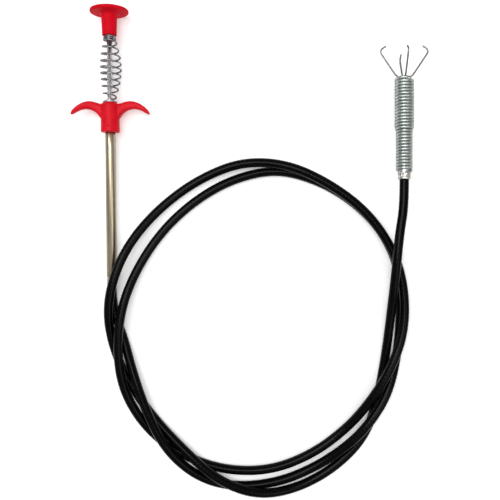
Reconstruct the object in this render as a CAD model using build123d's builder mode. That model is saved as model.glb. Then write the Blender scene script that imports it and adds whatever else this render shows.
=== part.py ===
"""Flexible drain claw: a push-button handle, a sheathed cable lying in loops and a spring head with claws.

The tool lies on a level surface at z = 0. The handle points along +Y with its button end raised until the
button's flange rests on the surface. The head also points along +Y. Millimetres throughout.
"""

import math
import os

from build123d import *

# Handle: it starts at the sheath's end and leans up by the handle tilt.
handle_start = Vector(-89.9, -89.4, 4.05)
handle_tilt = 2.7525
tube_radius = 3.2
tube_bore = 2.45
collar_length = 5.0
collar_chamfer = 0.3
tube_top = 110.5
bush_length = 7.0
running_clearance = 0.06

# Finger grip, measured from the handle's start along its axis.
grip_bottom = 99.1
grip_top = 118.3
grip_radius = 6.15
boss_radius = 4.65
boss_height = 0.8
wing_half_thickness = 2.7
pin_radius = 0.75
pin_height = 102.5

# Button, rod and return spring.
rod_radius = 1.7
rod_bore = 1.2
rod_bottom = 62.0
seat_thickness = 0.8
seat_radius = 4.6
stem_bottom = 161.2
stem_radius = 4.65
stem_top_radius = 5.4
flange_bottom = 175.4
flange_top = 177.6
flange_radius = 12.4
button_top = 179.0
button_face_radius = 9.4
insert_radius = 2.9
insert_top = 174.0
spring_wire = 0.6
spring_end_radius = 3.45
spring_middle_radius = 6.5
spring_turns = 11
spring_gap = 0.35

# Cable.
sheath_radius = 3.0
sheath_bore = 2.4
liner_radius = 2.0
liner_bore = 1.25
core_radius = 0.85
liner_into_tube = 15.0
core_into_handle = 90.0
liner_into_head = 9.0
core_into_head = 42.0
liner_stop_length = 5.0
liner_stop_radius = 2.4
cable_clearance_radius = 2.35

# Head: its axis runs along +Y above the surface, high enough for the lowest claw to clear it.
head_x = 99.8
head_z = 15.6
ferrule_start = -21.8
ferrule_length = 4.6
ferrule_radius = 4.1
anchor_length = 10.0
coil_pitch = 1.97
coil_bulge = 0.45
lower_coils = 14
upper_coils = 17
lower_outer_radius = 5.25
upper_outer_radius = 6.1
coil_wall = 1.4
mouth_rounding = 0.6

# Claws.
claw_wire = 0.55
claw_turns = (358, 88, 178, 268)
claw_bend_radius = 4.0
claw_bend_ahead = 0.15
claw_shoulder = (1.6, 1.2)
claw_flare = 33.7
claw_spans = (15.4, 18.7, 16.0, 18.7)
hook_length = 5.4
hook_turn = 90.0
shoulder_rounding = 1.5
hook_rounding = 2.6
claw_joint_gap = 0.5
leg_joint_gap = 0.15
hub_behind_mouth = 30.0
hub_length = 5.0
hub_radius = 3.7
end_sleeve_radius = 1.9
end_sleeve_length = 28.0

# The cable's route from the handle to the head: two and a half loose turns, with a low hump at each crossing.
cable_route = [
    (-89.9, -89.4, 4.05),
    (-89.9, -105.0, 3.3),
    (-82.4, -124.5, 3.1),
    (-75.4, -146.5, 8.8),
    (-66.4, -172.0, 9.9),
    (-53.5, -197.0, 10.2),
    (-33.5, -216.0, 5.6),
    (-9.0, -223.5, 3.05),
    (20.0, -220.3, 3.05),
    (46.0, -209.3, 3.3),
    (67.0, -193.0, 7.8),
    (80.0, -178.0, 10.0),
    (91.5, -160.0, 7.8),
    (98.5, -134.5, 3.05),
    (100.5, -107.0, 3.05),
    (99.8, -80.0, 3.05),
    (88.5, -54.5, 3.05),
    (69.5, -35.0, 3.05),
    (46.0, -21.0, 3.05),
    (18.5, -13.6, 3.05),
    (-9.5, -19.8, 3.05),
    (-33.5, -33.0, 3.05),
    (-55.0, -52.0, 3.05),
    (-71.8, -76.0, 4.4),
    (-82.5, -103.0, 9.8),
    (-85.6, -132.0, 10.2),
    (-81.3, -160.0, 8.8),
    (-66.0, -186.5, 3.05),
    (-42.0, -203.5, 3.05),
    (-14.5, -212.6, 3.05),
    (15.5, -212.3, 3.05),
    (43.0, -201.2, 3.05),
    (65.0, -184.5, 3.2),
    (79.0, -166.0, 9.4),
    (91.5, -145.5, 11.6),
    (101.0, -121.5, 10.0),
    (101.8, -94.0, 9.4),
    (95.0, -68.0, 9.4),
    (78.0, -43.0, 9.4),
    (54.5, -24.8, 9.4),
    (26.5, -11.4, 9.4),
    (-3.0, -8.8, 5.4),
    (-30.5, -19.0, 3.05),
    (-55.0, -36.0, 3.05),
    (-74.5, -57.5, 7.5),
    (-86.0, -80.0, 11.4),
    (-91.8, -104.0, 10.8),
    (-90.0, -129.0, 3.8),
    (-79.0, -154.5, 3.05),
    (-62.5, -178.0, 3.05),
    (-43.0, -196.5, 8.6),
    (-20.5, -216.5, 10.2),
    (6.0, -226.8, 9.0),
    (33.0, -224.0, 3.05),
    (58.5, -209.5, 3.05),
    (78.0, -188.5, 3.05),
    (86.0, -161.5, 3.05),
    (91.0, -133.0, 3.05),
    (93.0, -107.0, 8.5),
    (94.3, -82.0, 16.2),
    (96.5, -57.0, 16.8),
    (99.8, -39.0, 15.6),
    (99.8, -21.8, 15.6),
]

handle_slope = math.radians(handle_tilt)
handle_direction = Vector(0, math.cos(handle_slope), math.sin(handle_slope))
handle_up = Vector(0, -math.sin(handle_slope), math.cos(handle_slope))
# In the side planes a point is (distance from the axis, distance along the axis).
handle_side = Plane(origin=handle_start, x_dir=(1, 0, 0), z_dir=handle_up)
handle_axis = Axis(handle_start, handle_direction)
head_origin = Vector(head_x, 0, head_z)
head_side = Plane(origin=head_origin, x_dir=(1, 0, 0), z_dir=(0, 0, 1))
head_axis = Axis(head_origin, (0, 1, 0))
step_y = ferrule_start + ferrule_length + lower_coils * coil_pitch
mouth_y = step_y + upper_coils * coil_pitch


def outline(plane, points):
    """A closed straight-sided outline on the given plane."""
    with BuildSketch(plane) as drawn:
        with BuildLine():
            Polyline(*points, close=True)
        make_face()
    return drawn.sketch


def sleeve_outline(plane, inner, outer, start, end):
    """Half the section of a plain sleeve between two places on the axis."""
    return outline(plane, [(inner, start), (outer, start), (outer, end), (inner, end)])


def handle_plane(height):
    """The plane square to the handle's axis at a height above its start."""
    return Plane(origin=handle_start + handle_direction * height, x_dir=(1, 0, 0), z_dir=handle_direction)


def save(piece, name):
    """Label a finished piece and write it to its own file."""
    piece.part.label = name
    export_step(piece.part, f"parts/{name}.step")


def corner_radii(points):
    """The largest round bend that each corner of a route has room for."""
    corners = [Vector(*point) for point in points]
    radii = []
    for before, corner, after in zip(corners, corners[1:], corners[2:]):
        turn = math.radians((corner - before).get_angle(after - corner))
        run = min((corner - before).length, (after - corner).length)
        radii.append(0.45 * run / math.tan(turn / 2))
    return radii


cable_radii = corner_radii(cable_route)


def cable_line(into_handle, into_head):
    """The cable's centre line, with its two ends run on straight into the handle and the head."""
    points = [Vector(*point) for point in cable_route]
    points[0] = points[0] + (points[0] - points[1]).normalized() * into_handle
    points[-1] = points[-1] + (points[-1] - points[-2]).normalized() * into_head
    with BuildLine() as drawn:
        FilletPolyline(*points, radius=cable_radii)
    return drawn.wires()[0]


def check_cable(piece, line, section, name):
    """Print a cable piece's volume beside its section times its length."""
    print(name, "length", round(line.length, 1), "volume", round(piece.part.volume), "expected",
          round(section * line.length))


os.makedirs("parts", exist_ok=True)
print("cable bend radii", [round(radius) for radius in cable_radii])

# Handle tube and the pieces in its two ends.
with BuildPart() as handle_tube:
    revolve(sleeve_outline(handle_side, tube_bore, tube_radius, collar_length, tube_top), axis=handle_axis)
    with BuildSketch(Plane(origin=handle_plane(pin_height).origin, x_dir=(1, 0, 0), z_dir=handle_up)):
        Circle(pin_radius)
    extrude(amount=tube_radius + 1, mode=Mode.SUBTRACT)
save(handle_tube, "handle_tube")

with BuildPart() as tube_collar:
    collar_section = [
        (cable_clearance_radius, 0),
        (tube_radius - collar_chamfer, 0),
        (tube_radius, collar_chamfer),
        (tube_radius, collar_length),
        (cable_clearance_radius, collar_length),
    ]
    revolve(outline(handle_side, collar_section), axis=handle_axis)
save(tube_collar, "tube_collar")

with BuildPart() as tube_bush:
    bush_section = sleeve_outline(
        handle_side, rod_radius + running_clearance, tube_bore, tube_top - bush_length, tube_top
    )
    revolve(bush_section, axis=handle_axis)
save(tube_bush, "tube_bush")

with BuildPart() as liner_stop:
    stop_section = sleeve_outline(
        handle_side, liner_bore, liner_stop_radius, liner_into_tube, liner_into_tube + liner_stop_length
    )
    revolve(stop_section, axis=handle_axis)
save(liner_stop, "liner_stop")

# Finger grip: a hub with a boss on top, two wings that curve down to their tips, and a blind seat for the tube.
with BuildPart() as finger_grip:
    hub_section = [
        (0, grip_bottom),
        (grip_radius - 0.6, grip_bottom),
        (grip_radius, grip_bottom + 0.6),
        (grip_radius, grip_top - boss_height - 0.6),
        (grip_radius - 0.8, grip_top - boss_height),
        (boss_radius, grip_top - boss_height),
        (boss_radius, grip_top),
        (0, grip_top),
    ]
    revolve(outline(handle_side, hub_section), axis=handle_axis)
    with BuildSketch(handle_side) as wing:
        with BuildLine():
            Spline((3.0, grip_top - 1.6), (7.0, grip_top - 0.8), (13.5, grip_top + 0.7), (20.0, grip_top - 1.2),
                   (25.4, grip_top - 5.7))
            ThreePointArc((25.4, grip_top - 5.7), (25.9, grip_top - 7.2), (24.5, grip_top - 7.9))
            Spline((24.5, grip_top - 7.9), (20.5, grip_top - 5.6), (15.5, grip_top - 4.4), (10.2, grip_top - 6.0),
                   (6.1, grip_top - 9.8), (4.0, grip_top - 13.5))
            Line((4.0, grip_top - 13.5), (3.0, grip_top - 1.6))
        make_face()
        mirror(about=Plane.YZ)
    extrude(amount=wing_half_thickness, both=True)
    with BuildSketch(handle_plane(grip_bottom)):
        Circle(tube_radius)
    extrude(amount=tube_top - grip_bottom, mode=Mode.SUBTRACT)
    with BuildSketch(handle_plane(tube_top)):
        Circle(rod_radius + 0.4)
    extrude(amount=grip_top - tube_top, mode=Mode.SUBTRACT)
    with BuildSketch(Plane(origin=handle_plane(pin_height).origin, x_dir=(1, 0, 0), z_dir=handle_up)):
        Circle(pin_radius)
    extrude(amount=grip_radius + 1, mode=Mode.SUBTRACT)
save(finger_grip, "finger_grip")

with BuildPart() as grip_pin:
    with BuildSketch(Plane(origin=handle_plane(pin_height).origin + handle_up * tube_bore, x_dir=(1, 0, 0),
                           z_dir=handle_up)):
        Circle(pin_radius)
    extrude(amount=grip_radius - 0.4 - tube_bore)
save(grip_pin, "grip_pin")

# Button, its insert and the hollow rod that it pushes.
with BuildPart() as thumb_button:
    button_section = [
        (0, stem_bottom),
        (stem_radius, stem_bottom),
        (stem_top_radius, flange_bottom - 0.8),
        (stem_top_radius + 0.8, flange_bottom),
        (flange_radius - 0.7, flange_bottom),
        (flange_radius, flange_bottom + 0.7),
        (flange_radius, flange_top - 0.7),
        (flange_radius - 0.7, flange_top),
        (button_face_radius, button_top),
        (0, button_top),
    ]
    revolve(outline(handle_side, button_section), axis=handle_axis)
    with BuildSketch(handle_plane(stem_bottom)):
        Circle(insert_radius)
    extrude(amount=insert_top - stem_bottom, mode=Mode.SUBTRACT)
save(thumb_button, "thumb_button")

with BuildPart() as button_insert:
    revolve(sleeve_outline(handle_side, rod_radius, insert_radius, stem_bottom, insert_top), axis=handle_axis)
save(button_insert, "button_insert")

with BuildPart() as plunger_rod:
    revolve(sleeve_outline(handle_side, rod_bore, rod_radius, rod_bottom, insert_top), axis=handle_axis)
save(plunger_rod, "plunger_rod")

# Return spring: turns of wire that bulge to a barrel between a seat washer and the button's stem.
with BuildPart() as spring_seat:
    seat_section = sleeve_outline(
        handle_side, rod_radius + 0.4, seat_radius, grip_top, grip_top + seat_thickness
    )
    revolve(seat_section, axis=handle_axis)
save(spring_seat, "spring_seat")

spring_bottom = grip_top + seat_thickness + spring_gap + spring_wire
spring_length = stem_bottom - spring_gap - spring_wire - spring_bottom
with BuildPart() as return_spring:
    for turn in range(spring_turns):
        share = turn / (spring_turns - 1)
        radius = spring_end_radius + (spring_middle_radius - spring_end_radius) * math.sin(math.pi * share)
        with BuildSketch(handle_side):
            with Locations((radius, spring_bottom + spring_length * share)):
                Circle(spring_wire)
        revolve(axis=handle_axis)
save(return_spring, "return_spring")

# Cable: a plastic sheath over a steel liner, with a core wire that runs on into the handle and the head.
sheath_line = cable_line(0, 0)
with BuildPart() as outer_sheath:
    with BuildSketch(Plane(origin=sheath_line @ 0, z_dir=sheath_line % 0)):
        Circle(sheath_radius)
        Circle(sheath_bore, mode=Mode.SUBTRACT)
    sweep(path=sheath_line)
save(outer_sheath, "outer_sheath")
check_cable(outer_sheath, sheath_line, math.pi * (sheath_radius**2 - sheath_bore**2), "outer_sheath")

liner_line = cable_line(liner_into_tube, liner_into_head)
with BuildPart() as coil_liner:
    with BuildSketch(Plane(origin=liner_line @ 0, z_dir=liner_line % 0)):
        Circle(liner_radius)
        Circle(liner_bore, mode=Mode.SUBTRACT)
    sweep(path=liner_line)
save(coil_liner, "coil_liner")
check_cable(coil_liner, liner_line, math.pi * (liner_radius**2 - liner_bore**2), "coil_liner")

core_line = cable_line(core_into_handle, core_into_head)
with BuildPart() as core_cable:
    with BuildSketch(Plane(origin=core_line @ 0, z_dir=core_line % 0)):
        Circle(core_radius)
    sweep(path=core_line)
save(core_cable, "core_cable")
check_cable(core_cable, core_line, math.pi * core_radius**2, "core_cable")

# Head: a ferrule on the sheath, an anchor sleeve and one close-wound spring in two diameters.
with BuildPart() as head_ferrule:
    ferrule_end = ferrule_start + ferrule_length
    ferrule_section = [
        (cable_clearance_radius, ferrule_start),
        (ferrule_radius - 0.6, ferrule_start),
        (ferrule_radius, ferrule_start + 0.6),
        (ferrule_radius, ferrule_end),
        (cable_clearance_radius, ferrule_end),
    ]
    revolve(outline(head_side, ferrule_section), axis=head_axis)
save(head_ferrule, "head_ferrule")

with BuildPart() as spring_anchor:
    anchor_section = sleeve_outline(
        head_side,
        cable_clearance_radius,
        lower_outer_radius - coil_wall - running_clearance,
        ferrule_end,
        ferrule_end + anchor_length,
    )
    revolve(anchor_section, axis=head_axis)
save(spring_anchor, "spring_anchor")

with BuildPart() as head_spring:
    with BuildSketch(head_side):
        with BuildLine():
            lower_root = lower_outer_radius - coil_bulge
            upper_root = upper_outer_radius - coil_bulge
            upper_bore = upper_outer_radius - coil_wall
            for coil in range(lower_coils):
                start = ferrule_end + coil * coil_pitch
                ThreePointArc((lower_root, start), (lower_outer_radius, start + coil_pitch / 2),
                              (lower_root, start + coil_pitch))
            Line((lower_root, step_y), (upper_root, step_y))
            for coil in range(upper_coils):
                start = step_y + coil * coil_pitch
                ThreePointArc((upper_root, start), (upper_outer_radius, start + coil_pitch / 2),
                              (upper_root, start + coil_pitch))
            Line((upper_root, mouth_y), (upper_bore + mouth_rounding, mouth_y))
            RadiusArc((upper_bore + mouth_rounding, mouth_y), (upper_bore, mouth_y - mouth_rounding),
                      mouth_rounding)
            Line((upper_bore, mouth_y - mouth_rounding), (upper_bore, step_y + coil_wall))
            Line((upper_bore, step_y + coil_wall), (lower_outer_radius - coil_wall, step_y + coil_wall / 2))
            Line((lower_outer_radius - coil_wall, step_y + coil_wall / 2),
                 (lower_outer_radius - coil_wall, ferrule_end))
            Line((lower_outer_radius - coil_wall, ferrule_end), (lower_root, ferrule_end))
        make_face()
    revolve(axis=head_axis)
save(head_spring, "head_spring")

# Claw carrier: the core's end sleeve, a hub and four straight legs that run to the bends.
hub_start = mouth_y - hub_behind_mouth
hub_end = hub_start + hub_length
bend_y = mouth_y + claw_bend_ahead

with BuildPart() as core_end_sleeve:
    revolve(
        sleeve_outline(head_side, rod_bore, end_sleeve_radius, hub_end - end_sleeve_length, hub_end),
        axis=head_axis,
    )
save(core_end_sleeve, "core_end_sleeve")


def claw_plane(turn, along):
    """A plane through the head's axis: x points away from the axis at the given turn and y points along it."""
    angle = math.radians(turn)
    outward = Vector(math.sin(angle), 0, math.cos(angle))
    return Plane(origin=(head_x, along, head_z), x_dir=outward, z_dir=outward.cross(Vector(0, 1, 0)))


def leg_section(turn):
    """The round section of one claw's leg, at the back of the hub."""
    centre = claw_plane(turn, hub_start).from_local_coords(Vector(claw_bend_radius, 0, 0))
    with BuildSketch(Plane(origin=centre, x_dir=(1, 0, 0), z_dir=(0, 1, 0))) as drawn:
        Circle(claw_wire)
    return drawn.sketch


leg_length = bend_y - leg_joint_gap - hub_start
with BuildPart() as claw_legs:
    for turn in claw_turns:
        extrude(leg_section(turn), amount=leg_length)
save(claw_legs, "claw_legs")

with BuildPart() as claw_hub:
    revolve(sleeve_outline(head_side, end_sleeve_radius, hub_radius, hub_start, hub_end), axis=head_axis)
    for turn in claw_turns:
        extrude(leg_section(turn), amount=hub_length, mode=Mode.SUBTRACT)
save(claw_hub, "claw_hub")

# Four claws: each leans out over the mouth's rim, flares, and ends in a hook turned back towards the axis.
flare = math.radians(claw_flare)
hook = math.radians(claw_flare - hook_turn)
shoulder_turn = math.atan2(*claw_shoulder)
for number, (turn, span) in enumerate(zip(claw_turns, claw_spans), start=1):
    start = (claw_bend_radius + claw_joint_gap * math.sin(shoulder_turn), claw_joint_gap * math.cos(shoulder_turn))
    shoulder = (claw_bend_radius + claw_shoulder[0], claw_shoulder[1])
    corner = (shoulder[0] + span * math.sin(flare), shoulder[1] + span * math.cos(flare))
    tip = (corner[0] + hook_length * math.sin(hook), corner[1] + hook_length * math.cos(hook))
    with BuildPart() as claw:
        with BuildLine(claw_plane(turn, bend_y)) as wire:
            FilletPolyline(start, shoulder, corner, tip, radius=[shoulder_rounding, hook_rounding])
        with BuildSketch(Plane(origin=wire.line @ 0, z_dir=wire.line % 0)):
            Circle(claw_wire)
        sweep(path=wire.line)
    save(claw, f"claw_{number}")
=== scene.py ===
import math

import bmesh
import bpy
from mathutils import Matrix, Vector


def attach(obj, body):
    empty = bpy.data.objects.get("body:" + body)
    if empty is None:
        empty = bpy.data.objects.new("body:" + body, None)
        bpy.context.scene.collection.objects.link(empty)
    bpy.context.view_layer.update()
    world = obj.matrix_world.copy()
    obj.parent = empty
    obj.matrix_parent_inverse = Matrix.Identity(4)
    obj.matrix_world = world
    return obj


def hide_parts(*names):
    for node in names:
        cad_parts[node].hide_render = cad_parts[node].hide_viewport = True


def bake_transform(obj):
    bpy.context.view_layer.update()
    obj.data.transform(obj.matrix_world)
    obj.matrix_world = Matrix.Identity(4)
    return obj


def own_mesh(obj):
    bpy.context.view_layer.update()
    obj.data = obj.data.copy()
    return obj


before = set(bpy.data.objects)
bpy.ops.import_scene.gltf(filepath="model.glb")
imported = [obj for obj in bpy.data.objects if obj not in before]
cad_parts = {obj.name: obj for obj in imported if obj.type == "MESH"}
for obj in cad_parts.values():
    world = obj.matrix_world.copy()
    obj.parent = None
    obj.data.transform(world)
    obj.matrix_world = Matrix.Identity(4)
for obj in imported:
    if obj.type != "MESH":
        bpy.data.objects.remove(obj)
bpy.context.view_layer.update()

# ---------------------------------------------------------------- driving values
# Places and routes are in metres. Sizes of the handle, head and claws are in millimetres, times MM in use.
MM = 0.001
HANDLE_START = Vector((-0.0899, -0.0894, 0.00405))
HANDLE_TILT = math.radians(2.7525)
HANDLE_DIRECTION = Vector((0, math.cos(HANDLE_TILT), math.sin(HANDLE_TILT)))
HANDLE_UP = Vector((0, -math.sin(HANDLE_TILT), math.cos(HANDLE_TILT)))
TUBE_RADIUS, TUBE_BORE, COLLAR_LENGTH = 3.2, 2.45, 5.0
GRIP_BOTTOM, GRIP_TOP = 99.1, 118.3
TUBE_TOP, BUSH_LENGTH = 110.5, 7.0
PIN_HEIGHT = 102.5
SEAT_TOP = GRIP_TOP + 0.8
STEM_BOTTOM, INSERT_TOP, INSERT_RADIUS = 161.2, 174.0, 2.9
ROD_RADIUS, ROD_BORE, ROD_BOTTOM = 1.7, 1.2, 62.0
LINER_STOP_START, LINER_STOP_END = 15.0, 20.0
WING_REACH = 25.8
AXIS_POINT = 0.01  # a radius that closes an outline at the axis
HEAD_START = Vector((0.0998, 0, 0.0156))
HEAD_DIRECTION = Vector((0, 1, 0))
FERRULE_START, FERRULE_LENGTH = -21.8, 4.6
COIL_PITCH = 1.97
LOWER_COILS, UPPER_COILS = 14, 17
HEAD_WIRE = (0.70, 0.96)
LOWER_RADIUS, UPPER_RADIUS = 5.25, 6.1
STEP_Y = FERRULE_START + FERRULE_LENGTH + LOWER_COILS * COIL_PITCH
MOUTH_Y = STEP_Y + UPPER_COILS * COIL_PITCH
CLAW_TURNS = (358, 88, 178, 268)
CLAW_WIRE = 0.55
CLAW_BEND = (4.0, MOUTH_Y + 0.15)
CLAW_SHOULDER = (1.6, 1.2)
CLAW_FLARE, HOOK_TURN = math.radians(33.7), math.radians(90.0)
CLAW_SPANS, HOOK_LENGTH = (15.4, 18.7, 16.0, 18.7), 5.4
CLAW_ROUNDINGS = (0.9, 1.5, 2.6)
SPRING_BOTTOM, SPRING_TOP = SEAT_TOP + 0.65, STEM_BOTTOM - 0.65
SHEATH_DIAMETER = 0.006
RIB_PITCH, RIB_DEPTH = 0.0026, 0.035
LINER_RADIUS, LINER_BORE, CORE_RADIUS = 2.0, 1.25, 0.85
LINER_RUN_ON, CORE_RUN_ON = (15, 9), (90, 42)

CABLE_ROUTE = [
    (-0.0899, -0.0894, 0.00405),
    (-0.0899, -0.1050, 0.0033),
    (-0.0824, -0.1245, 0.0031),
    (-0.0754, -0.1465, 0.0088),
    (-0.0664, -0.1720, 0.0099),
    (-0.0535, -0.1970, 0.0102),
    (-0.0335, -0.2160, 0.0056),
    (-0.0090, -0.2235, 0.00305),
    (0.0200, -0.2203, 0.00305),
    (0.0460, -0.2093, 0.0033),
    (0.0670, -0.1930, 0.0078),
    (0.0800, -0.1780, 0.0100),
    (0.0915, -0.1600, 0.0078),
    (0.0985, -0.1345, 0.00305),
    (0.1005, -0.1070, 0.00305),
    (0.0998, -0.0800, 0.00305),
    (0.0885, -0.0545, 0.00305),
    (0.0695, -0.0350, 0.00305),
    (0.0460, -0.0210, 0.00305),
    (0.0185, -0.0136, 0.00305),
    (-0.0095, -0.0198, 0.00305),
    (-0.0335, -0.0330, 0.00305),
    (-0.0550, -0.0520, 0.00305),
    (-0.0718, -0.0760, 0.0044),
    (-0.0825, -0.1030, 0.0098),
    (-0.0856, -0.1320, 0.0102),
    (-0.0813, -0.1600, 0.0088),
    (-0.0660, -0.1865, 0.00305),
    (-0.0420, -0.2035, 0.00305),
    (-0.0145, -0.2126, 0.00305),
    (0.0155, -0.2123, 0.00305),
    (0.0430, -0.2012, 0.00305),
    (0.0650, -0.1845, 0.0032),
    (0.0790, -0.1660, 0.0094),
    (0.0915, -0.1455, 0.0116),
    (0.1010, -0.1215, 0.0100),
    (0.1018, -0.0940, 0.0094),
    (0.0950, -0.0680, 0.0094),
    (0.0780, -0.0430, 0.0094),
    (0.0545, -0.0248, 0.0094),
    (0.0265, -0.0114, 0.0094),
    (-0.0030, -0.0088, 0.0054),
    (-0.0305, -0.0190, 0.00305),
    (-0.0550, -0.0360, 0.00305),
    (-0.0745, -0.0575, 0.0075),
    (-0.0860, -0.0800, 0.0114),
    (-0.0918, -0.1040, 0.0108),
    (-0.0900, -0.1290, 0.0038),
    (-0.0790, -0.1545, 0.00305),
    (-0.0625, -0.1780, 0.00305),
    (-0.0430, -0.1965, 0.0086),
    (-0.0205, -0.2165, 0.0102),
    (0.0060, -0.2268, 0.0090),
    (0.0330, -0.2240, 0.00305),
    (0.0585, -0.2095, 0.00305),
    (0.0780, -0.1885, 0.00305),
    (0.0860, -0.1615, 0.00305),
    (0.0910, -0.1330, 0.00305),
    (0.0930, -0.1070, 0.0085),
    (0.0943, -0.0820, 0.0162),
    (0.0965, -0.0570, 0.0168),
    (0.0998, -0.0390, 0.0156),
    (0.0998, -0.0218, 0.0156),
]


# ---------------------------------------------------------------- meshes
def build_mesh(name, points, faces):
    """A smooth-shaded mesh object from points in metres."""
    data = bpy.data.meshes.new(name)
    data.from_pydata([tuple(point) for point in points], [], faces)
    data.update()
    data.shade_smooth()
    piece = bpy.data.objects.new(name, data)
    bpy.context.scene.collection.objects.link(piece)
    return piece


def grid_faces(rings, sides, closed=False):
    """Quads between neighbouring rings of points."""
    faces = []
    for ring in range(rings if closed else rings - 1):
        here, there = ring * sides, (ring + 1) % rings * sides
        for side in range(sides):
            ahead = (side + 1) % sides
            faces.append((here + side, here + ahead, there + ahead, there + side))
    return faces


def axis_frame(direction):
    """Two unit vectors square to a direction, the first one level where it can be."""
    across = Vector((1, 0, 0)) if abs(direction.x) < 0.9 else Vector((0, 1, 0))
    across = (across - direction * across.dot(direction)).normalized()
    return across, direction.cross(across)


def lathe(name, origin, direction, outline, sides=96, shape=None):
    """Turn an outline of (radius, along) in mm about an axis. It is closed, or runs from pole to pole.

    shape(radius, along, angle) may return a changed radius, as for crimps."""
    across, up = axis_frame(direction)
    points = []
    for radius, along in outline:
        for side in range(sides):
            angle = math.tau * side / sides
            spoke = shape(radius, along, angle) if shape else radius
            offset = across * math.cos(angle) + up * math.sin(angle)
            points.append(origin + direction * along * MM + offset * spoke * MM)
    faces = grid_faces(len(outline), sides)
    rings = len(outline)
    if outline[0] == outline[-1]:
        points = points[:-sides]
        faces = grid_faces(rings - 1, sides, closed=True)
    else:
        faces.append(tuple(reversed(range(sides))))
        faces.append(tuple(range((rings - 1) * sides, rings * sides)))
    piece = build_mesh(name, points, faces)
    outward_normals(piece)
    return piece


def outward_normals(piece):
    """Make every face of a closed mesh look outwards."""
    work = bmesh.new()
    work.from_mesh(piece.data)
    bmesh.ops.recalc_face_normals(work, faces=work.faces)
    work.to_mesh(piece.data)
    work.free()


def tube(name, path, radius, sides=12, round_ends=0.0):
    """A closed tube along a path. The radius is a number or a function of the length so far.

    round_ends is how far from each end the tube narrows to a rounded tip."""
    size = radius if callable(radius) else (lambda length: radius)
    lengths = [0.0]
    for before, after in zip(path, path[1:]):
        lengths.append(lengths[-1] + (after - before).length)
    total = lengths[-1]
    across = None
    points = []
    for index, centre in enumerate(path):
        tangent = (path[min(index + 1, len(path) - 1)] - path[max(index - 1, 0)]).normalized()
        if across is None:
            across = axis_frame(tangent)[0]
        across = (across - tangent * across.dot(tangent)).normalized()
        up = tangent.cross(across)
        spoke = size(lengths[index])
        if round_ends:
            edge = min(lengths[index], total - lengths[index])
            if edge < round_ends:
                spoke *= math.sqrt(max(0.03, 1 - (1 - edge / round_ends) ** 2))
        for side in range(sides):
            angle = math.tau * side / sides
            points.append(centre + (across * math.cos(angle) + up * math.sin(angle)) * spoke)
    faces = grid_faces(len(path), sides)
    faces.append(tuple(reversed(range(sides))))
    faces.append(tuple(range((len(path) - 1) * sides, len(path) * sides)))
    piece = build_mesh(name, points, faces)
    outward_normals(piece)
    return piece


def rounded(corners, radii, step):
    """A path through corners whose inner corners are arcs of the given radii, with points a step apart."""
    path = [corners[0]]
    for before, corner, after, radius in zip(corners, corners[1:], corners[2:], radii):
        into, out = (corner - before).normalized(), (after - corner).normalized()
        turn = into.angle(out)
        inset = radius * math.tan(turn / 2)
        start = corner - into * inset
        inward = (out - into * out.dot(into)).normalized()
        centre = start + inward * radius
        for share in range(9):
            angle = turn * share / 8
            path.append(centre - inward * radius * math.cos(angle) + into * radius * math.sin(angle))
    path.append(corners[-1])
    filled = []
    for before, after in zip(path, path[1:]):
        pieces = max(1, round((after - before).length / step))
        filled += [before.lerp(after, part / pieces) for part in range(pieces)]
    filled.append(path[-1])
    return filled


def handle_point(x, along, out):
    """A point of the handle from mm across, along and above its axis."""
    return HANDLE_START + Vector((x * MM, 0, 0)) + HANDLE_DIRECTION * along * MM + HANDLE_UP * out * MM


def head_point(turn, radius, along):
    """A point of the head from its turn in degrees, its radius and its place along the axis, in mm."""
    angle = math.radians(turn)
    outward = Vector((math.sin(angle), 0, math.cos(angle)))
    return HEAD_START + HEAD_DIRECTION * along * MM + outward * radius * MM


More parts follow.
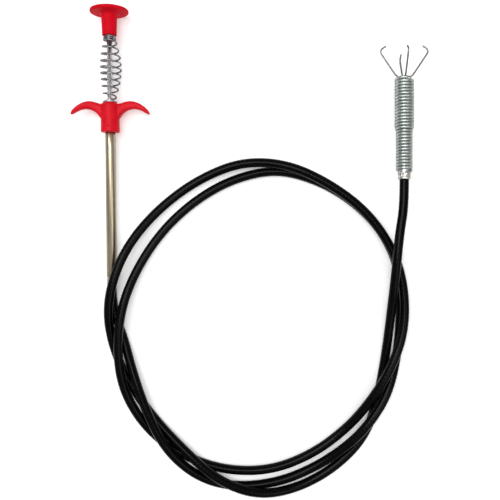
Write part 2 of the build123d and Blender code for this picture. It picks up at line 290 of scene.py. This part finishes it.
# ---------------------------------------------------------------- materials
class Finish:
    """A principled material with helpers for its procedural detail, in object coordinates."""

    def __init__(self, name, colour, roughness, metallic=0.0):
        self.material = bpy.data.materials.new(name)
        self.material.use_nodes = True
        self.tree = self.material.node_tree
        self.shader = self.tree.nodes["Principled BSDF"]
        self.shader.inputs["Base Color"].default_value = (*colour, 1)
        self.shader.inputs["Roughness"].default_value = roughness
        self.shader.inputs["Metallic"].default_value = metallic
        self.place = self.tree.nodes.new("ShaderNodeTexCoord").outputs["Object"]
        self.height = None

    def noise(self, scale, detail=3.0, stretch=(1, 1, 1)):
        """A noise pattern; a stretch draws it out along an axis."""
        mapping = self.tree.nodes.new("ShaderNodeMapping")
        mapping.inputs["Scale"].default_value = stretch
        pattern = self.tree.nodes.new("ShaderNodeTexNoise")
        pattern.inputs["Scale"].default_value = scale
        pattern.inputs["Detail"].default_value = detail
        self.tree.links.new(self.place, mapping.inputs["Vector"])
        self.tree.links.new(mapping.outputs["Vector"], pattern.inputs["Vector"])
        return pattern.outputs["Fac"]

    def ramp(self, source, stops):
        """A colour ramp on a pattern."""
        node = self.tree.nodes.new("ShaderNodeValToRGB")
        ramp = node.color_ramp
        while len(ramp.elements) < len(stops):
            ramp.elements.new(0.5)
        for element, (position, colour) in zip(ramp.elements, stops):
            element.position = position
            element.color = (*colour, 1)
        self.tree.links.new(source, node.inputs["Fac"])
        return node.outputs["Color"]

    def span(self, source, low, high, start=0.3, end=0.7):
        """A pattern's value mapped to a range."""
        node = self.tree.nodes.new("ShaderNodeMapRange")
        node.inputs["From Min"].default_value = start
        node.inputs["From Max"].default_value = end
        node.inputs["To Min"].default_value = low
        node.inputs["To Max"].default_value = high
        self.tree.links.new(source, node.inputs["Value"])
        return node.outputs["Result"]

    def link(self, source, socket):
        """Feed a shader socket from a pattern."""
        self.tree.links.new(source, self.shader.inputs[socket])

    def bump(self, source, distance, strength=0.5):
        """Add a fine relief to the surface."""
        node = self.tree.nodes.new("ShaderNodeBump")
        node.inputs["Distance"].default_value = distance
        node.inputs["Strength"].default_value = strength
        self.tree.links.new(source, node.inputs["Height"])
        if self.height is not None:
            self.tree.links.new(self.height, node.inputs["Normal"])
        self.height = node.outputs["Normal"]
        self.link(self.height, "Normal")


def red_plastic(name, deep, bright, roughness, gloss=0.07):
    """Moulded plastic with faint flow marks, a fine grain and a soft gloss."""
    finish = Finish(name, bright, roughness)
    finish.link(finish.ramp(finish.noise(90, 4), [(0.3, deep), (0.7, bright)]), "Base Color")
    finish.link(finish.span(finish.noise(420, 4), roughness - 0.06, roughness + 0.1), "Roughness")
    finish.bump(finish.noise(1500, 2), 0.00004, 0.35)
    finish.bump(finish.noise(160, 2), 0.00012, 0.3)
    finish.shader.inputs["Specular IOR Level"].default_value = gloss
    finish.shader.inputs["Subsurface Weight"].default_value = 0.06
    finish.shader.inputs["Subsurface Radius"].default_value = (0.0022, 0.0005, 0.0004)
    return finish.material


def metal(name, dark, light, roughness, scale=260, stretch=(1, 1, 1), relief=0.00002, metallic=1.0):
    """Plated or bare metal with cloudy colour, uneven gloss, fine scratches and painted shade on its
    edges.
    """
    finish = Finish(name, light, roughness, metallic)
    # A dark grey edge tint: painted shade that darkens the metal's reflections towards its edges, where it
    # would otherwise mirror the bright floor.
    finish.shader.inputs["Specular Tint"].default_value = (0.25, 0.25, 0.25, 1)
    finish.link(finish.ramp(finish.noise(scale, 4, stretch), [(0.3, dark), (0.72, light)]), "Base Color")
    gloss = finish.noise(scale * 3, 4, stretch)
    finish.link(finish.span(gloss, roughness - 0.07, roughness + 0.1), "Roughness")
    finish.bump(finish.noise(scale * 8, 2, stretch), relief, 0.4)
    return finish.material


def black_plastic():
    """Glossy black sheath with faint dust and scuffs."""
    finish = Finish("black_sheath", (0.001, 0.001, 0.0011), 0.18)
    shades = [(0.5, (0.0008, 0.0008, 0.0009)), (0.8, (0.0030, 0.0030, 0.0030))]
    finish.link(finish.ramp(finish.noise(300, 5), shades), "Base Color")
    finish.link(finish.span(finish.noise(700, 4), 0.13, 0.24), "Roughness")
    finish.bump(finish.noise(2200, 2), 0.00002, 0.3)
    finish.shader.inputs["Specular IOR Level"].default_value = 0.07
    return finish.material


def matte_plastic(name, dark, light):
    """Plain moulded plastic with a light grain."""
    finish = Finish(name, light, 0.55)
    finish.link(finish.ramp(finish.noise(400, 3), [(0.35, dark), (0.7, light)]), "Base Color")
    finish.bump(finish.noise(1800, 2), 0.00003, 0.4)
    return finish.material


def white_surface():
    """The pale surface that the tool lies on."""
    finish = Finish("white_surface", (0.93, 0.93, 0.93), 0.7)
    shades = [(0.3, (0.92, 0.92, 0.92)), (0.7, (0.945, 0.945, 0.945))]
    finish.link(finish.ramp(finish.noise(6, 2), shades), "Base Color")
    finish.shader.inputs["Specular IOR Level"].default_value = 0.2
    finish.shader.inputs["Emission Color"].default_value = (1, 1, 1, 1)
    finish.shader.inputs["Emission Strength"].default_value = 0.22
    return finish.material


RED = red_plastic("red_plastic", (0.55, 0.004, 0.012), (0.66, 0.008, 0.021), 0.34)
RED_BUTTON = red_plastic("red_button", (0.52, 0.003, 0.010), (0.62, 0.006, 0.018), 0.42, 0.02)
# A darker copy of the grip's red: painted shade that makes the pin's head read as a small dimple in the
# hub.
RED_PIN_PAINTED_SHADE = red_plastic("red_pin", (0.42, 0.003, 0.008), (0.50, 0.005, 0.012), 0.42)
CHAMPAGNE = metal("champagne_tube", (0.36, 0.31, 0.22), (0.46, 0.40, 0.285), 0.31, 220, (1, 0.08, 1))
PALE_COLLAR = metal("pale_collar", (0.50, 0.50, 0.40), (0.68, 0.68, 0.57), 0.38, 500)
BUSH = matte_plastic("bush_plastic", (0.03, 0.03, 0.03), (0.06, 0.06, 0.06))
ZINC = metal("zinc_steel", (0.42, 0.43, 0.44), (0.62, 0.63, 0.64), 0.34, 600)
CHROME = metal("spring_chrome", (0.16, 0.16, 0.17), (0.40, 0.40, 0.41), 0.2, 500)
ROD = metal("rod_chrome", (0.70, 0.70, 0.69), (0.88, 0.88, 0.87), 0.3, 300, (1, 0.1, 1))
HEAD_ZINC = metal("head_zinc", (0.37, 0.405, 0.385), (0.55, 0.595, 0.57), 0.34, 420)
LINER = metal("liner_steel", (0.30, 0.30, 0.30), (0.48, 0.48, 0.48), 0.36, 700)
FERRULE = metal("ferrule_metal", (0.50, 0.49, 0.46), (0.74, 0.73, 0.70), 0.32, 600)
CLAW_STEEL = metal("claw_steel", (0.16, 0.15, 0.14), (0.36, 0.35, 0.33), 0.34, 700)
BLACK = black_plastic()


def dress(piece, material, body, node):
    """Give a piece its material, hide the model part that it replaces and, when a body is given, attach it
    to the body it moves with.
    """
    piece.data.materials.clear()
    piece.data.materials.append(material)
    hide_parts(node)
    if body:
        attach(piece, body)
    return piece


# ---------------------------------------------------------------- cable
def route_spline():
    """The cable's own line: a smooth spline that has the route's points as its control points."""
    data = bpy.data.curves.new("cable_line", "CURVE")
    data.dimensions = "3D"
    spline = data.splines.new("NURBS")
    spline.points.add(len(CABLE_ROUTE) - 1)
    for point, place in zip(spline.points, CABLE_ROUTE):
        point.co = (*place, 1)
    spline.order_u = 3
    spline.use_endpoint_u = True
    spline.resolution_u = 54
    line = bpy.data.objects.new("cable_line", data)
    bpy.context.scene.collection.objects.link(line)
    bpy.context.view_layer.update()
    mesh = bpy.data.meshes.new_from_object(line)
    path = [vertex.co.copy() for vertex in mesh.vertices]
    bpy.data.objects.remove(line)
    bpy.data.meshes.remove(mesh)
    return path


def run_on(path, back, ahead):
    """The same line with straight stretches added at its two ends, in mm."""
    start_way = (path[0] - path[1]).normalized()
    end_way = (path[-1] - path[-2]).normalized()
    before = [path[0] + start_way * back * MM * (1 - part / 12) for part in range(12)]
    after = [path[-1] + end_way * ahead * MM * (part + 1) / 12 for part in range(12)]
    return before + path + after


def sheath_radius(length):
    """The sheath shows the liner's turns as shallow ribs."""
    rib = 0.5 - 0.5 * math.cos(math.tau * length / RIB_PITCH)
    return SHEATH_DIAMETER / 2 - RIB_DEPTH * (1 - rib) * MM


CABLE_PATH = route_spline()
INNER_PATH = CABLE_PATH[::4] + CABLE_PATH[-1:]
sheath = tube("cable_sheath", CABLE_PATH, sheath_radius, 20)
dress(sheath, BLACK, "root", "outer_sheath")
liner = tube("cable_liner", run_on(INNER_PATH, *LINER_RUN_ON), LINER_RADIUS * MM, 10)
dress(liner, LINER, "root", "coil_liner")
core = tube("cable_core", run_on(INNER_PATH, *CORE_RUN_ON), CORE_RADIUS * MM, 8)
dress(core, CLAW_STEEL, "root", "core_cable")


# ---------------------------------------------------------------- handle
def arc(centre, radius, start, end, count=8):
    """Points of an arc in an outline, angles in degrees from the radius direction."""
    angles = [math.radians(start + (end - start) * step / count) for step in range(count + 1)]
    across, along = centre
    return [(across + radius * math.cos(angle), along + radius * math.sin(angle)) for angle in angles]


def handle_tube():
    """The plain tube, with its lower edge broken where it meets the collar."""
    outline = [(TUBE_BORE, COLLAR_LENGTH), (TUBE_RADIUS - 0.2, COLLAR_LENGTH),
               (TUBE_RADIUS, COLLAR_LENGTH + 0.25), (TUBE_RADIUS, 90.0), (TUBE_RADIUS, TUBE_TOP),
               (TUBE_BORE, TUBE_TOP), (TUBE_BORE, COLLAR_LENGTH)]
    piece = lathe("handle_tube_wall", HANDLE_START, HANDLE_DIRECTION, outline)
    return dress(piece, CHAMPAGNE, "root", "handle_tube")


def tube_collar():
    """A crimped ring: three shallow rolled grooves."""
    outline = [(2.35, 0.0), (2.95, 0.0)]
    for step in range(33):
        along = 0.2 + 4.6 * step / 32
        groove = max(0.0, math.sin(math.pi * 3 * (along - 0.2) / 4.6)) ** 2
        outline.append((TUBE_RADIUS - 0.16 * groove, along))
    outline += [(2.95, COLLAR_LENGTH), (2.35, COLLAR_LENGTH), (2.35, 0.0)]
    piece = lathe("tube_collar_ring", HANDLE_START, HANDLE_DIRECTION, outline)
    return dress(piece, PALE_COLLAR, "root", "tube_collar")


WING_TOP = [(0, -0.8), (3, -0.8), (5.8, -0.9), (7.5, -0.45), (10, 0.35), (13, 0.8), (16, 0.5), (19, -0.6),
            (22, -2.4), (24.5, -4.7), (25.8, -6.4)]
WING_BOTTOM = [(0, -17.0), (3, -14.5), (5.4, -11.4), (6.6, -9.5), (8.5, -7.2), (11, -5.4), (14, -4.45),
               (17, -4.35), (20, -5.2), (23, -6.8), (25.8, -8.3)]
WING_HALF = [(0, 3.6), (6, 3.3), (12, 3.0), (19, 2.6), (25.8, 1.9)]


def wing(side):
    """One finger wing as a closed skin of rounded sections across it."""
    stations = [WING_REACH * (1 - (1 - step / 60) ** 1.25) for step in range(61)]
    sides = 40
    points = []
    for x in stations:
        top, bottom = smooth_curve(WING_TOP, x), smooth_curve(WING_BOTTOM, x)
        middle, half = (top + bottom) / 2, (top - bottom) / 2
        thick = smooth_curve(WING_HALF, x)
        tip = math.sqrt(max(0.02, 1 - max(0.0, (x - 24.2) / 1.6) ** 2))
        for number in range(sides):
            angle = math.tau * number / sides
            u = math.copysign(abs(math.cos(angle)) ** 0.6, math.cos(angle))
            v = math.copysign(abs(math.sin(angle)) ** 0.6, math.sin(angle))
            points.append(handle_point(side * x, GRIP_TOP + middle + half * tip * v, thick * tip * u))
    faces = grid_faces(len(stations), sides)
    faces.append(tuple(reversed(range(sides))))
    faces.append(tuple(range((len(stations) - 1) * sides, len(stations) * sides)))
    piece = build_mesh("wing_skin", points, faces)
    outward_normals(piece)
    return piece


def smooth_curve(points, value):
    """A smooth line through points, by cubic steps between them."""
    for index in range(len(points) - 1):
        (x0, y0), (x1, y1) = points[index], points[index + 1]
        if value <= x1 or index == len(points) - 2:
            before = points[max(index - 1, 0)]
            after = points[min(index + 2, len(points) - 1)]
            slope0 = (y1 - before[1]) / (x1 - before[0])
            slope1 = (after[1] - y0) / (after[0] - x0)
            width = x1 - x0
            t = min(1.0, max(0.0, (value - x0) / width))
            return ((2 * t**3 - 3 * t**2 + 1) * y0 + (t**3 - 2 * t**2 + t) * width * slope0
                    + (3 * t**2 - 2 * t**3) * y1 + (t**3 - t**2) * width * slope1)
    return points[-1][1]


def finger_grip():
    """Hub and wings, joined into one moulded skin."""
    hub = ([(AXIS_POINT, GRIP_BOTTOM)] + arc((5.65, GRIP_BOTTOM + 0.5), 0.5, -90, 0)
           + [(6.05, GRIP_BOTTOM + 6), (6.0, GRIP_TOP - 4)] + arc((5.2, GRIP_TOP - 1.6), 0.8, 0, 90)
           + arc((4.35, GRIP_TOP - 0.3), 0.3, 0, 90) + [(AXIS_POINT, GRIP_TOP)])
    skin = lathe("finger_grip_body", HANDLE_START, HANDLE_DIRECTION, hub)
    parts = [skin, wing(-1), wing(1)]
    bpy.ops.object.select_all(action="DESELECT")
    for part in parts:
        part.select_set(True)
    bpy.context.view_layer.objects.active = skin
    bpy.ops.object.join()
    remesh = skin.modifiers.new("skin", "REMESH")
    remesh.mode = "VOXEL"
    remesh.voxel_size = 0.30 * MM
    remesh.use_smooth_shade = True
    relax = skin.modifiers.new("relax", "SMOOTH")
    relax.factor = 0.5
    relax.iterations = 5
    bpy.ops.object.modifier_apply(modifier=remesh.name)
    bpy.ops.object.modifier_apply(modifier=relax.name)
    skin.data.shade_smooth()
    return dress(skin, RED, "root", "finger_grip")


def grip_pin():
    """The pin's shank and its low domed head in the hub."""
    outline = [(AXIS_POINT, 2.5), (0.75, 2.5), (0.75, 5.95)]
    outline += arc((0.6, 5.97), 0.15, 0, 90, 4) + [(AXIS_POINT, 6.14)]
    origin = HANDLE_START + HANDLE_DIRECTION * PIN_HEIGHT * MM
    piece = lathe("grip_pin_plug", origin, HANDLE_UP, outline, 40)
    return dress(piece, RED_PIN_PAINTED_SHADE, "root", "grip_pin")


def thumb_button():
    """Tapered stem that sweeps into a wide flange with a slightly domed top."""
    outline = [(INSERT_RADIUS, INSERT_TOP), (INSERT_RADIUS, STEM_BOTTOM), (4.4, STEM_BOTTOM)]
    outline += arc((4.4, STEM_BOTTOM + 0.25), 0.25, -90, 0, 4) + [(4.75, 165.5), (5.0, 170.5)]
    outline += [(7.15 - 2.0 * math.cos(angle), 173.35 + 2.0 * math.sin(angle))
                for angle in (math.radians(90 * step / 8) for step in range(9))]
    outline += [(9.5, 175.35)] + arc((11.35, 176.4), 1.05, -90, 0) + arc((11.35, 176.7), 1.05, 0, 78)
    outline += [(10.2, 178.15), (9.0, 178.6), (7.4, 178.9), (5.0, 178.97), (AXIS_POINT, 178.98)]
    outline += [(AXIS_POINT, INSERT_TOP), (INSERT_RADIUS, INSERT_TOP)]
    piece = lathe("thumb_button_cap", HANDLE_START, HANDLE_DIRECTION, outline, 128)
    return dress(piece, RED_BUTTON, "plunger", "thumb_button")


def turned_part(name, outline, material, body, node):
    """A plain turned piece on the handle's axis, from its outline in mm."""
    piece = lathe(name, HANDLE_START, HANDLE_DIRECTION, outline + outline[:1], 72)
    return dress(piece, material, body, node)


def return_spring():
    """A barrel of wire: open turns round the middle, and close ones under the button's stem."""
    turns, steps, wire = 10.75, 34, 0.54
    close_turns, close_pitch = 2.0, 1.2
    height = SPRING_TOP - SPRING_BOTTOM
    open_turns = turns - close_turns
    open_height = height - close_turns * close_pitch
    path = []
    for step in range(int(turns * steps) + 1):
        turn = step / steps
        if turn < open_turns:
            share = turn / open_turns
            along = open_height * (share + 0.018 * math.sin(math.tau * share))
        else:
            along = open_height + (turn - open_turns) * close_pitch
        rise = along / height
        radius = 3.45 + 3.05 * math.sin(math.pi * rise) ** 1.1
        bow = 0.75 * math.sin(math.pi * rise)
        angle = math.tau * turn + math.radians(200)
        across, out = bow + radius * math.cos(angle), radius * math.sin(angle)
        path.append(handle_point(across, SPRING_BOTTOM + along, out))
    piece = tube("return_spring_wire", path, wire * MM, 12, round_ends=0.4 * MM)
    dress(piece, CHROME, "root", "return_spring")
    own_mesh(piece)
    return piece


handle_tube()
tube_collar()
finger_grip()
grip_pin()
thumb_button()
return_spring()
turned_part(
    "tube_bush_ring",
    [(1.76, TUBE_TOP - BUSH_LENGTH), (TUBE_BORE, TUBE_TOP - BUSH_LENGTH), (TUBE_BORE, TUBE_TOP),
     (1.76, TUBE_TOP)],
    BUSH, "root", "tube_bush",
)
turned_part(
    "liner_stop_ring",
    [(LINER_BORE, LINER_STOP_START), (2.4, LINER_STOP_START), (2.4, LINER_STOP_END),
     (LINER_BORE, LINER_STOP_END)],
    ZINC, "root", "liner_stop",
)
turned_part(
    "spring_seat_washer",
    [(2.1, GRIP_TOP), (4.45, GRIP_TOP), (4.6, GRIP_TOP + 0.15), (4.6, SEAT_TOP - 0.15), (4.45, SEAT_TOP),
     (2.1, SEAT_TOP)],
    ZINC, "root", "spring_seat",
)
turned_part(
    "button_insert_sleeve",
    [(ROD_RADIUS, STEM_BOTTOM), (INSERT_RADIUS - 0.1, STEM_BOTTOM), (INSERT_RADIUS, STEM_BOTTOM + 0.1),
     (INSERT_RADIUS, INSERT_TOP), (ROD_RADIUS, INSERT_TOP)],
    ZINC, "plunger", "button_insert",
)
turned_part(
    "plunger_rod_wall",
    [(ROD_BORE, ROD_BOTTOM), (ROD_RADIUS - 0.15, ROD_BOTTOM), (ROD_RADIUS, ROD_BOTTOM + 0.15),
     (ROD_RADIUS, INSERT_TOP), (ROD_BORE, INSERT_TOP)],
    ROD, "plunger", "plunger_rod",
)


# ---------------------------------------------------------------- head
def head_spring():
    """One close-wound flattened wire that steps up from the lower diameter to the upper one."""
    turns = LOWER_COILS + UPPER_COILS - 1
    steps, sides = 40, 14
    deep, wide = HEAD_WIRE
    lower, upper = LOWER_RADIUS - deep, UPPER_RADIUS - deep
    start = FERRULE_START + FERRULE_LENGTH + wide
    points = []
    for step in range(turns * steps + 1):
        turn = step / steps
        share = min(1.0, max(0.0, (turn - (LOWER_COILS - 1.3)) / 1.6))
        radius = lower + (upper - lower) * share * share * (3 - 2 * share)
        uneven = 0.05 * math.sin(turn * 1.7) + 0.03 * math.sin(turn * 4.1)
        tip = min(1.0, 0.25 + min(step, turns * steps - step) / 6)
        for side in range(sides):
            angle = math.tau * side / sides
            spoke = radius + uneven * 0.4 + deep * tip * math.cos(angle)
            along = start + COIL_PITCH * turn + uneven * 0.3 + wide * tip * math.sin(angle)
            points.append(head_point(turn * 360 + 40, spoke, along))
    faces = grid_faces(turns * steps + 1, sides)
    faces.append(tuple(reversed(range(sides))))
    faces.append(tuple(range(turns * steps * sides, turns * steps * sides + sides)))
    piece = build_mesh("head_spring_wire", points, faces)
    outward_normals(piece)
    return dress(piece, HEAD_ZINC, "root", "head_spring")


def head_ferrule():
    """Crimped ferrule: a rolled lip at the cable and flats pressed round its middle."""
    start, end = FERRULE_START, FERRULE_START + FERRULE_LENGTH

    def crimp(radius, along, angle):
        if radius < 3.5 or not start + 1.2 < along < end - 0.8:
            return radius
        return radius - 0.22 * max(0.0, math.cos(6 * angle)) ** 2

    outline = [(2.35, start), (3.4, start)] + arc((3.45, start + 0.5), 0.5, -90, 0, 6)
    outline += [(3.98, start + 0.9), (4.05, start + 1.2), (3.9, start + 1.5), (3.85, start + 2.2),
                (3.9, start + 3.0), (4.1, start + 3.4), (4.1, end), (2.35, end), (2.35, start)]
    piece = lathe("head_ferrule_crimp", HEAD_START, HEAD_DIRECTION, outline, 96, crimp)
    return dress(piece, FERRULE, "root", "head_ferrule")


def claw(number, turn, span):
    """One spring wire: its straight leg, the lean over the mouth's rim, the flare and the hooked end."""
    bend_radius, bend_along = CLAW_BEND
    shoulder = (bend_radius + CLAW_SHOULDER[0], bend_along + CLAW_SHOULDER[1])
    corner = (shoulder[0] + span * math.sin(CLAW_FLARE), shoulder[1] + span * math.cos(CLAW_FLARE))
    hook = CLAW_FLARE - HOOK_TURN
    tip = (corner[0] + HOOK_LENGTH * math.sin(hook), corner[1] + HOOK_LENGTH * math.cos(hook))
    places = [(bend_radius, MOUTH_Y - 30), CLAW_BEND, shoulder, corner, tip]
    radii = [radius * MM for radius in CLAW_ROUNDINGS]
    path = rounded([head_point(turn, *place) for place in places], radii, 0.5 * MM)
    piece = tube(f"claw_wire_{number}", path, CLAW_WIRE * MM, 12, round_ends=0.5 * MM)
    dress(piece, CLAW_STEEL, None, f"claw_{number}")
    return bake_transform(piece)


head_coil = head_spring()
ferrule = head_ferrule()
claws = [claw(number, *shape) for number, shape in enumerate(zip(CLAW_TURNS, CLAW_SPANS), start=1)]
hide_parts("claw_legs")
for node in ("spring_anchor", "core_end_sleeve", "claw_hub"):
    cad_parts[node].data.materials.clear()
    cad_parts[node].data.materials.append(ZINC)


# ---------------------------------------------------------------- surface, light and camera
def surface():
    """The floor, which is not part of the tool."""
    data = bpy.data.meshes.new("surface")
    size = 8.0
    corners = [(-size, -size, 0), (size, -size, 0), (size, size, 0), (-size, size, 0)]
    data.from_pydata(corners, [], [(0, 1, 2, 3)])
    floor = bpy.data.objects.new("surface", data)
    bpy.context.scene.collection.objects.link(floor)
    data.materials.append(white_surface())


def soft_light(name, place, target, size, power):
    """A round softbox turned towards a target."""
    data = bpy.data.lights.new(name, "AREA")
    data.shape = "DISK"
    data.size = size
    data.energy = power
    light = bpy.data.objects.new(name, data)
    bpy.context.scene.collection.objects.link(light)
    light.location = place
    light.rotation_euler = (Vector(target) - Vector(place)).to_track_quat("-Z", "Y").to_euler()


def sky(horizon, overhead):
    """A studio sky that is dim at the horizon and bright overhead."""
    world = bpy.data.worlds.new("sky")
    world.use_nodes = True
    tree = world.node_tree
    place = tree.nodes.new("ShaderNodeTexCoord")
    parts = tree.nodes.new("ShaderNodeSeparateXYZ")
    ramp = tree.nodes.new("ShaderNodeValToRGB")
    ramp.color_ramp.elements[0].position = 0.25
    ramp.color_ramp.elements[0].color = (horizon, horizon, horizon, 1)
    ramp.color_ramp.elements[1].position = 0.95
    ramp.color_ramp.elements[1].color = (overhead, overhead, overhead, 1)
    tree.links.new(place.outputs["Generated"], parts.inputs["Vector"])
    tree.links.new(parts.outputs["Z"], ramp.inputs["Fac"])
    tree.links.new(ramp.outputs["Color"], tree.nodes["Background"].inputs["Color"])
    bpy.context.scene.world = world


CENTRE = Vector((0.001, -0.067, 0))
surface()
sky(0.30, 0.60)
soft_light("overhead", (-0.08, 0.02, 0.95), CENTRE, 0.45, 3.4)
soft_light("key", (-0.45, 0.25, 0.85), CENTRE, 0.4, 2.6)
soft_light("fill", (0.5, -0.4, 0.8), CENTRE, 0.6, 1.8)

camera_data = bpy.data.cameras.new("camera")
camera_data.lens = 46.8
camera_data.sensor_width = 36
camera = bpy.data.objects.new("camera", camera_data)
camera.location = CENTRE + Vector((0, 0, 0.432))
bpy.context.scene.collection.objects.link(camera)
bpy.context.scene.camera = camera
bpy.context.scene.view_settings.view_transform = "Standard"
